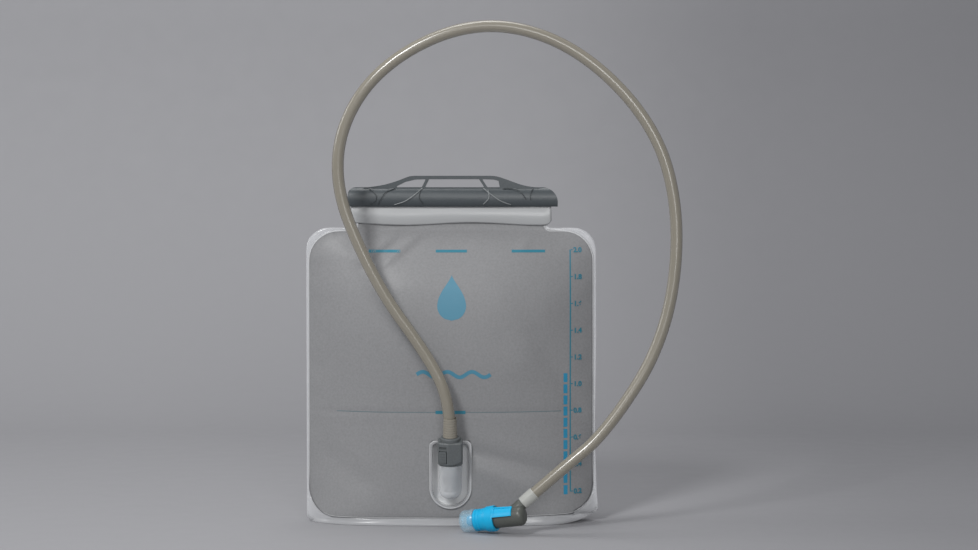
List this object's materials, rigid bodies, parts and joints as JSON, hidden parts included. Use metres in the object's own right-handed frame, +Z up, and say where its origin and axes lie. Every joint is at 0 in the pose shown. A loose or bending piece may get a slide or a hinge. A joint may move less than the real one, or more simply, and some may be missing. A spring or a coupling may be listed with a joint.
{
  "type": "hydration bladder",
  "caption": "Soft film water bag with a slide clamp on its mouth and a long drink hose from a quick-release port to a twist-lock bite valve.",
  "frame": {"origin": "bottom centre of the bag with its clamp and port, without the hose and valve", "axes": "+Z up, +X to the right seen from the front, the port side faces -Y"},
  "size_m": [0.3001, 0.1131, 0.4017],
  "materials": {
    "bag_film": "satin woven film",
    "frosted_band": "frosted translucent",
    "clear_port": "clear",
    "frosted_cup": "frosted",
    "grey_clamp": "satin",
    "grey_fitting": "satin",
    "white_poppet": "matte",
    "black_seal": "matte",
    "cuff_rubber": "matte",
    "clear_hose": "clear tinted",
    "blue_collar": "satin",
    "soft_mouthpiece": "translucent silicone"
  },
  "bodies": {
    "reservoir": {"front_panel": "bag_film", "back_panel": "bag_film", "bottom_gusset": "bag_film", "front_mouth_band": "frosted_band", "back_mouth_band": "frosted_band", "port_tray": "clear_port", "port_cup": "frosted_cup"},
    "clamp": {"slide_clamp": "grey_clamp"},
    "poppet": {"poppet": "white_poppet", "poppet_seal": "black_seal"},
    "hose": {"connector_stem": "grey_fitting", "nozzle_o_rings": "black_seal", "connector_housing": "grey_fitting", "hose_cuff": "cuff_rubber", "drink_tube": "clear_hose", "tube_sleeve": "cuff_rubber", "valve_elbow": "grey_fitting", "barrel_o_ring": "black_seal"},
    "button": {"release_button": "grey_fitting"},
    "collar": {"twist_collar": "blue_collar", "shutoff_core": "blue_collar", "bite_mouthpiece": "soft_mouthpiece"}
  },
  "joints": [
    {"name": "clamp_slide", "type": "slide", "parent": "reservoir", "child": "clamp", "axis": [1, 0, 0], "range_m": [0, 0.172]},
    {"name": "hose_release", "type": "slide", "parent": "reservoir", "child": "hose", "axis": [0, -0.2079, 0.9781], "range_m": [0, 0.036]},
    {"name": "poppet_lift", "type": "slide", "parent": "reservoir", "child": "poppet", "axis": [0, -0.2079, 0.9781], "range_m": [0, 0.0024]},
    {"name": "button_press", "type": "slide", "parent": "hose", "child": "button", "axis": [0.2925, 0.9354, 0.1988], "range_m": [0, 0.0015], "stiffness_N_per_m": 400, "springref_m": -0.001},
    {"name": "collar_twist", "type": "hinge", "parent": "hose", "child": "collar", "pos_m": [0.00915, -0.04867, 0.00814], "axis": [0.9264, -0.3464, 0.1478], "range_deg": [0, 90]}
  ],
  "couplings": [
    {"joint": "poppet_lift", "follows": "hose_release", "ratio": 0.0666}
  ]
}
